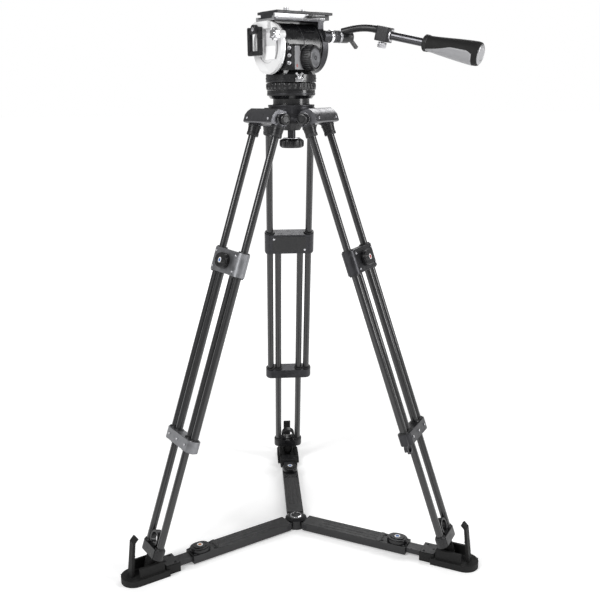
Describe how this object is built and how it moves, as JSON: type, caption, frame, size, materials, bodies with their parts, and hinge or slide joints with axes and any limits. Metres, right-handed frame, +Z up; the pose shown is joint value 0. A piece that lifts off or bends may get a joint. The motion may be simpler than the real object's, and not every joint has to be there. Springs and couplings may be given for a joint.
{
  "type": "video tripod with fluid head",
  "caption": "Video tripod with fluid head and pan bar, sliding twin-tube carbon legs, bowl mount and ground spreader with telescoping arms.",
  "frame": {"origin": "on the floor under the pan axis, at the middle of the spreader hub's underside", "axes": "+Z up along the pan axis, +Y towards the back leg, +X to the right seen from the front"},
  "size_m": [0.735, 0.644, 1.12],
  "materials": {
    "cast_black": "satin black anodised",
    "cast_silver": "bead-blasted silver grey",
    "cast_grey": "dark grey metallic",
    "carbon": "clear-coated carbon fibre",
    "moulded_black": "moulded, fine texture",
    "rubber_black": "matt rubber",
    "disc_grey": "light grey paint",
    "panel_grey": "mid grey paint",
    "bright": "bright chrome",
    "steel": "brushed"
  },
  "bodies": {
    "crown": {"crown": "cast_black"},
    "leg_1": {"leg_bracket_1": "cast_grey", "outer_tubes_1": "carbon", "leg_guide_1": "cast_grey"},
    "leg_low_1": {"carriage_1": "cast_grey", "inner_tubes_1": "carbon", "foot_1": "moulded_black"},
    "leg_lever_1": {"leg_lever_1": "moulded_black"},
    "tension_knob_1": {"tension_knob_1": "moulded_black"},
    "leg_2": {"leg_bracket_2": "cast_grey", "outer_tubes_2": "carbon", "leg_guide_2": "cast_silver"},
    "leg_low_2": {"carriage_2": "cast_silver", "inner_tubes_2": "carbon", "foot_2": "moulded_black"},
    "leg_lever_2": {"leg_lever_2": "moulded_black"},
    "tension_knob_2": {"tension_knob_2": "moulded_black"},
    "leg_3": {"leg_bracket_3": "cast_grey", "outer_tubes_3": "carbon", "leg_guide_3": "cast_grey"},
    "leg_low_3": {"carriage_3": "cast_grey", "inner_tubes_3": "carbon", "foot_3": "moulded_black"},
    "leg_lever_3": {"leg_lever_3": "moulded_black"},
    "tension_knob_3": {"tension_knob_3": "moulded_black"},
    "hub": {"hub": "moulded_black", "arm_outer_1": "moulded_black", "arm_outer_2": "moulded_black", "arm_outer_3": "moulded_black"},
    "arm_1": {"arm_inner_1": "cast_black", "foot_cup_1": "rubber_black"},
    "arm_knob_1": {"arm_knob_1": "moulded_black"},
    "arm_2": {"arm_inner_2": "cast_black", "foot_cup_2": "rubber_black"},
    "arm_knob_2": {"arm_knob_2": "moulded_black"},
    "arm_3": {"arm_inner_3": "cast_black", "foot_cup_3": "rubber_black"},
    "arm_knob_3": {"arm_knob_3": "moulded_black"},
    "dish": {"clamp_dish": "cast_black"},
    "ball": {"half_ball": "cast_black"},
    "tie_knob": {"tie_knob": "moulded_black"},
    "drag_ring": {"drag_ring": "cast_black"},
    "pan": {"head_body": "cast_black"},
    "pan_lock": {"pan_lock": "bright"},
    "button_1": {"button_1": "panel_grey"},
    "button_2": {"button_2": "panel_grey"},
    "button_3": {"button_3": "panel_grey"},
    "tilt_knob": {"tilt_knob": "rubber_black"},
    "tilt": {"tilt_block": "panel_grey", "side_disc": "disc_grey"},
    "disc_handle": {"disc_handle": "moulded_black"},
    "lobed_knob": {"lobed_knob": "bright"},
    "plate": {"camera_plate": "cast_black", "camera_screws": "steel"},
    "plate_lock": {"plate_lock": "cast_black"},
    "bar_clamp": {"bar_clamp": "steel"},
    "pan_bar": {"pan_bar": "cast_black"},
    "bar_grip": {"bar_rod": "steel", "bar_grip": "rubber_black"},
    "bar_knob": {"bar_knob": "bright"}
  },
  "joints": [
    {"name": "leg_hinge_1", "type": "hinge", "parent": "crown", "child": "leg_1", "pos_m": [0, 0.055, 0.909], "axis": [1, 0, 0], "range_deg": [-1.7, 4]},
    {"name": "leg_slide_1", "type": "slide", "parent": "leg_1", "child": "leg_low_1", "axis": [0, -0.3256, 0.9455], "range_m": [0, 0.17]},
    {"name": "leg_lever_turn_1", "type": "hinge", "parent": "leg_low_1", "child": "leg_lever_1", "pos_m": [0, 0.16995, 0.63658], "axis": [0, 0.9455, 0.3256], "range_deg": [0, 90]},
    {"name": "tension_turn_1", "type": "hinge", "parent": "leg_1", "child": "tension_knob_1", "pos_m": [-0.058, 0.055, 0.909], "axis": [-1, 0, 0], "range_deg": [-90, 90]},
    {"name": "leg_hinge_2", "type": "hinge", "parent": "crown", "child": "leg_2", "pos_m": [-0.04763, -0.0275, 0.909], "axis": [-0.5, 0.866, 0], "range_deg": [-1.7, 4]},
    {"name": "leg_slide_2", "type": "slide", "parent": "leg_2", "child": "leg_low_2", "axis": [0.2819, 0.1628, 0.9455], "range_m": [0, 0.17]},
    {"name": "leg_lever_turn_2", "type": "hinge", "parent": "leg_low_2", "child": "leg_lever_2", "pos_m": [-0.14718, -0.08498, 0.63658], "axis": [-0.8188, -0.4728, 0.3256], "range_deg": [0, 90]},
    {"name": "tension_turn_2", "type": "hinge", "parent": "leg_2", "child": "tension_knob_2", "pos_m": [-0.01863, -0.07773, 0.909], "axis": [0.5, -0.866, 0], "range_deg": [-90, 90]},
    {"name": "leg_hinge_3", "type": "hinge", "parent": "crown", "child": "leg_3", "pos_m": [0.04763, -0.0275, 0.909], "axis": [-0.5, -0.866, 0], "range_deg": [-1.7, 4]},
    {"name": "leg_slide_3", "type": "slide", "parent": "leg_3", "child": "leg_low_3", "axis": [-0.2819, 0.1628, 0.9455], "range_m": [0, 0.17]},
    {"name": "leg_lever_turn_3", "type": "hinge", "parent": "leg_low_3", "child": "leg_lever_3", "pos_m": [0.14718, -0.08498, 0.63658], "axis": [0.8188, -0.4728, 0.3256], "range_deg": [0, 90]},
    {"name": "tension_turn_3", "type": "hinge", "parent": "leg_3", "child": "tension_knob_3", "pos_m": [0.01863, -0.07773, 0.909], "axis": [-0.5, -0.866, 0], "range_deg": [-90, 90]},
    {"name": "hub_rise", "type": "slide", "parent": "crown", "child": "hub", "axis": [0, 0, 1], "range_m": [-0.0095, 0.0215]},
    {"name": "arm_slide_1", "type": "slide", "parent": "hub", "child": "arm_1", "axis": [0, 1, 0], "range_m": [-0.0265, 0.062]},
    {"name": "arm_knob_turn_1", "type": "hinge", "parent": "hub", "child": "arm_knob_1", "pos_m": [0, 0.244, 0.025], "axis": [0, 0, 1], "range_deg": [-90, 90]},
    {"name": "arm_slide_2", "type": "slide", "parent": "hub", "child": "arm_2", "axis": [-0.866, -0.5, 0], "range_m": [-0.0265, 0.062]},
    {"name": "arm_knob_turn_2", "type": "hinge", "parent": "hub", "child": "arm_knob_2", "pos_m": [-0.21131, -0.122, 0.025], "axis": [0, 0, 1], "range_deg": [-90, 90]},
    {"name": "arm_slide_3", "type": "slide", "parent": "hub", "child": "arm_3", "axis": [0.866, -0.5, 0], "range_m": [-0.0265, 0.062]},
    {"name": "arm_knob_turn_3", "type": "hinge", "parent": "hub", "child": "arm_knob_3", "pos_m": [0.21131, -0.122, 0.025], "axis": [0, 0, 1], "range_deg": [-90, 90]},
    {"name": "level_side", "type": "hinge", "parent": "crown", "child": "dish", "pos_m": [0, 0, 0.937], "axis": [0, 1, 0], "range_deg": [-8, 8]},
    {"name": "level_fore", "type": "hinge", "parent": "dish", "child": "ball", "pos_m": [0, 0, 0.937], "axis": [1, 0, 0], "range_deg": [-8, 8]},
    {"name": "tie_knob_turn", "type": "hinge", "parent": "ball", "child": "tie_knob", "pos_m": [0, 0, 0.86], "axis": [0, 0, 1], "continuous": true},
    {"name": "drag_ring_turn", "type": "hinge", "parent": "ball", "child": "drag_ring", "pos_m": [0, 0, 0.971], "axis": [0, 0, 1], "range_deg": [-75, 75]},
    {"name": "pan", "type": "hinge", "parent": "ball", "child": "pan", "pos_m": [0, 0, 0.985], "axis": [0, 0, 1], "continuous": true},
    {"name": "pan_lock_turn", "type": "hinge", "parent": "pan", "child": "pan_lock", "pos_m": [0.0121, -0.04852, 0.987], "axis": [0.2419, -0.9703, 0], "range_deg": [0, 60]},
    {"name": "button_press_1", "type": "slide", "parent": "pan", "child": "button_1", "axis": [0.0175, 0.9998, 0], "range_m": [0, 0.0015], "stiffness_N_per_m": 300},
    {"name": "button_press_2", "type": "slide", "parent": "pan", "child": "button_2", "axis": [0.0175, 0.9998, 0], "range_m": [0, 0.0015], "stiffness_N_per_m": 300},
    {"name": "button_press_3", "type": "slide", "parent": "pan", "child": "button_3", "axis": [0.0175, 0.9998, 0], "range_m": [0, 0.0015], "stiffness_N_per_m": 300},
    {"name": "tilt_drag_turn", "type": "hinge", "parent": "pan", "child": "tilt_knob", "pos_m": [0.03833, -0.03124, 1.024], "axis": [0.8387, -0.5446, 0], "range_deg": [-135, 135]},
    {"name": "tilt", "type": "hinge", "parent": "pan", "child": "tilt", "pos_m": [0, 0, 1.044], "axis": [0.848, 0.5299, 0], "range_deg": [-75, 45]},
    {"name": "handle_swing", "type": "hinge", "parent": "tilt", "child": "disc_handle", "pos_m": [-0.0707, -0.01706, 1.079], "axis": [0.848, 0.5299, 0], "range_deg": [-40, 40]},
    {"name": "lobed_knob_turn", "type": "hinge", "parent": "tilt", "child": "lobed_knob", "pos_m": [-0.03435, -0.07335, 1.066], "axis": [0.848, 0.5299, 0], "range_deg": [-180, 180]},
    {"name": "plate_slide", "type": "slide", "parent": "tilt", "child": "plate", "axis": [0.848, 0.5299, 0], "range_m": [-0.03, 0.03]},
    {"name": "plate_lock_turn", "type": "hinge", "parent": "tilt", "child": "plate_lock", "pos_m": [0.03848, -0.02383, 1.101], "axis": [0, 0, 1], "range_deg": [-60, 0]},
    {"name": "bar_clamp_turn", "type": "hinge", "parent": "tilt", "child": "bar_clamp", "pos_m": [0.10812, 0.01568, 1.066], "axis": [0.848, 0.5299, 0], "range_deg": [-45, 45]},
    {"name": "bar_angle", "type": "hinge", "parent": "tilt", "child": "pan_bar", "pos_m": [0.10558, 0.01409, 1.066], "axis": [0.848, 0.5299, 0], "range_deg": [-60, 45]},
    {"name": "bar_extend", "type": "slide", "parent": "pan_bar", "child": "bar_grip", "axis": [0.8178, -0.5311, -0.2215], "range_m": [0, 0.02]},
    {"name": "bar_knob_turn", "type": "hinge", "parent": "pan_bar", "child": "bar_knob", "pos_m": [0.1773, -0.03249, 1.04805], "axis": [0.1858, -0.1207, 0.9751], "range_deg": [-180, 180]}
  ],
  "couplings": [
    {"joint": "leg_hinge_2", "follows": "leg_hinge_1", "ratio": 1},
    {"joint": "leg_hinge_3", "follows": "leg_hinge_1", "ratio": 1},
    {"joint": "hub_rise", "follows": "leg_hinge_1", "m_per_rad": 0.30441},
    {"joint": "arm_slide_1", "follows": "leg_hinge_1", "m_per_rad": 0.88406},
    {"joint": "arm_slide_2", "follows": "leg_hinge_1", "m_per_rad": 0.88406},
    {"joint": "arm_slide_3", "follows": "leg_hinge_1", "m_per_rad": 0.88406}
  ]
}
